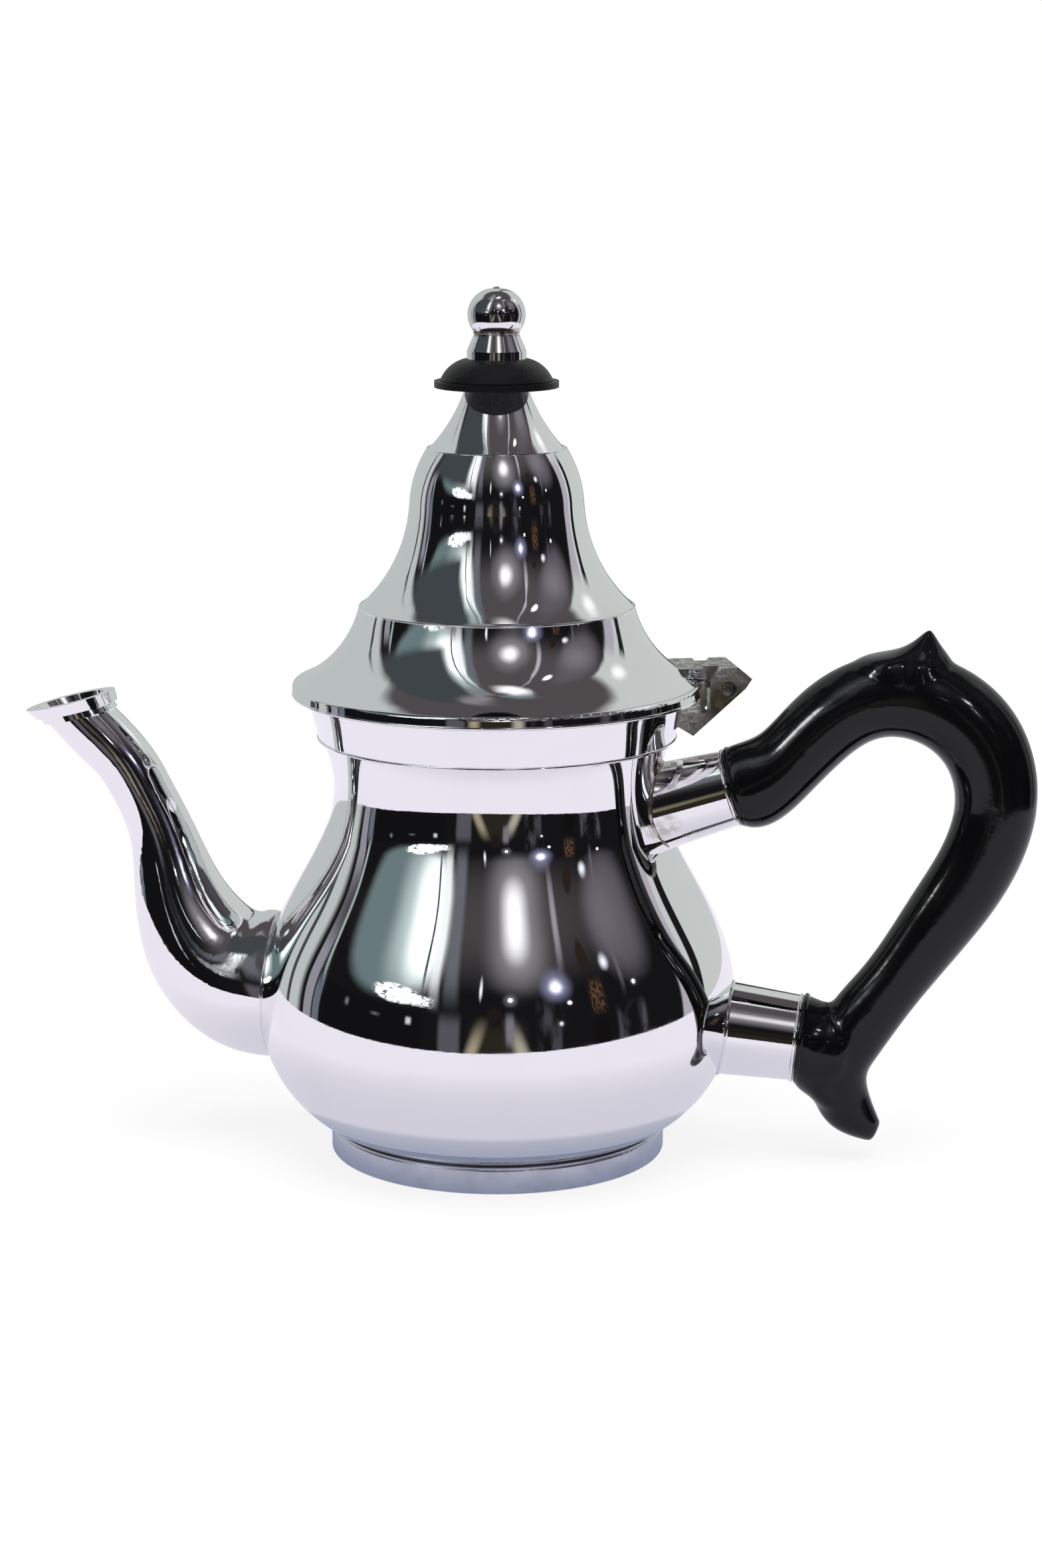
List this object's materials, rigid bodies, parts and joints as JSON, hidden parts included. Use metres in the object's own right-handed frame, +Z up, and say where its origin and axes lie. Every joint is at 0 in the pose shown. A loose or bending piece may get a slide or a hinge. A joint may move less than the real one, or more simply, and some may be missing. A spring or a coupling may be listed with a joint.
{
  "type": "tea pot",
  "caption": "Pear-shaped plated metal tea pot with a curved spout, a hinged tiered bell lid, a black looped handle in metal sockets and a domed black finial disc.",
  "frame": {"origin": "centre of the foot ring, on the plane that the pot stands on", "axes": "+Z up along the pot's axis, +X towards the handle and the lid hinge, -X towards the spout"},
  "size_m": [0.2348, 0.111, 0.2],
  "materials": {
    "chrome": "mirror plated",
    "foot_metal": "satin",
    "cast_hinge": "filed, lightly tarnished",
    "steel": "satin",
    "black_handle": "glossy moulded",
    "black_disc": "semi-matt moulded"
  },
  "bodies": {
    "pot": {"body_shell": "chrome", "foot_ring": "foot_metal", "base_plate": "foot_metal", "neck_collar": "chrome", "spout": "chrome", "spout_lip": "chrome", "spout_strainer": "chrome", "upper_handle_socket": "chrome", "lower_handle_socket": "chrome", "handle_grip": "black_handle", "upper_handle_pin": "steel", "lower_handle_pin": "steel", "hinge_bracket": "cast_hinge", "hinge_pin": "steel"},
    "lid": {"lid_shell": "chrome", "lid_flange": "chrome", "lid_hinge_leaf": "cast_hinge", "finial_disc": "black_disc", "finial_knob": "chrome", "finial_stud": "steel", "finial_washer": "steel", "finial_nut": "steel"}
  },
  "joints": [
    {"name": "lid_hinge", "type": "hinge", "parent": "pot", "child": "lid", "pos_m": [0.05049, 0.01544, 0.1083], "axis": [-0.2924, 0.9563, 0], "range_deg": [0, 100]}
  ]
}
